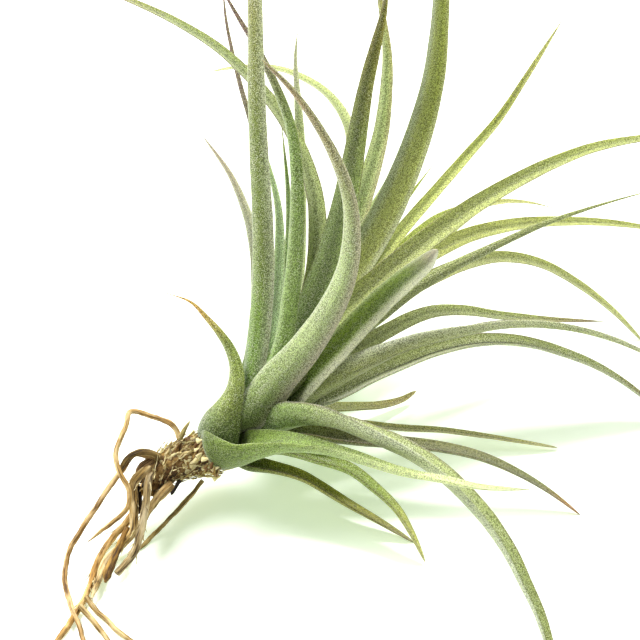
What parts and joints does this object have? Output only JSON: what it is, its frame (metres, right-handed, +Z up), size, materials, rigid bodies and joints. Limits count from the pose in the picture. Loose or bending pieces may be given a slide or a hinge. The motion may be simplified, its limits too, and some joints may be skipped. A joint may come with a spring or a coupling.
{
  "type": "air plant",
  "caption": "Small tillandsia air plant lying as picked: a rosette of long channelled leaves that taper to fine tips, on a short scarred stem with papery sheaths and wiry roots.",
  "frame": {"origin": "the middle of the bounding box's floor, on the surface that the plant lies on", "axes": "+X to the right and +Y away from the viewer as in the picture, +Z up"},
  "size_m": [0.197, 0.2248, 0.136],
  "materials": {
    "leaf_green": "matte",
    "leaf_silver": "matte",
    "leaf_lime": "matte",
    "leaf_olive": "matte",
    "stem_bark": "matte",
    "dry_sheath": "matte",
    "root_wire": "satin"
  },
  "bodies": {
    "root": {"stem": "stem_bark", "leaf_tall_upright": "leaf_silver", "leaf_left_arch": "leaf_green", "leaf_front_curl": "leaf_silver", "leaf_slim_curl": "leaf_green", "leaf_thread_tip": "leaf_silver", "leaf_back_hook": "leaf_lime", "leaf_back_spire": "leaf_lime", "leaf_back_left": "leaf_silver", "leaf_green_inner": "leaf_lime", "leaf_slim_inner": "leaf_silver", "leaf_centre": "leaf_green", "leaf_centre_edge": "leaf_lime", "leaf_tall_centre": "leaf_green", "leaf_bud_tip": "leaf_lime", "leaf_right_spear": "leaf_lime", "leaf_right_pale": "leaf_lime", "leaf_right_arch": "leaf_green", "leaf_front_reach": "leaf_green", "leaf_right_thin": "leaf_silver", "leaf_right_back": "leaf_lime", "leaf_right_hook": "leaf_lime", "leaf_side_short": "leaf_green", "leaf_side_channel": "leaf_green", "leaf_side_low": "leaf_silver", "leaf_stub": "leaf_olive", "leaf_front_sweep": "leaf_green", "leaf_front_low": "leaf_lime", "leaf_low_thin": "leaf_olive", "leaf_low_brown": "leaf_olive", "leaf_low_speckled": "leaf_olive", "leaf_lowest": "leaf_olive", "leaf_small_left": "leaf_olive", "leaf_behind_right": "leaf_green", "leaf_behind_centre": "leaf_green", "leaf_behind_left": "leaf_green", "leaf_behind_side": "leaf_green", "leaf_behind_short": "leaf_olive", "leaf_under_short": "leaf_olive", "dry_sheath_1": "dry_sheath", "dry_sheath_2": "dry_sheath", "dry_sheath_3": "dry_sheath", "root_long_left": "root_wire", "root_loop": "root_wire", "root_flat_end": "root_wire", "root_thick": "root_wire", "root_amber": "root_wire", "root_fork": "root_wire", "root_fork_low": "root_wire", "root_straight": "root_wire"}
  },
  "joints": []
}
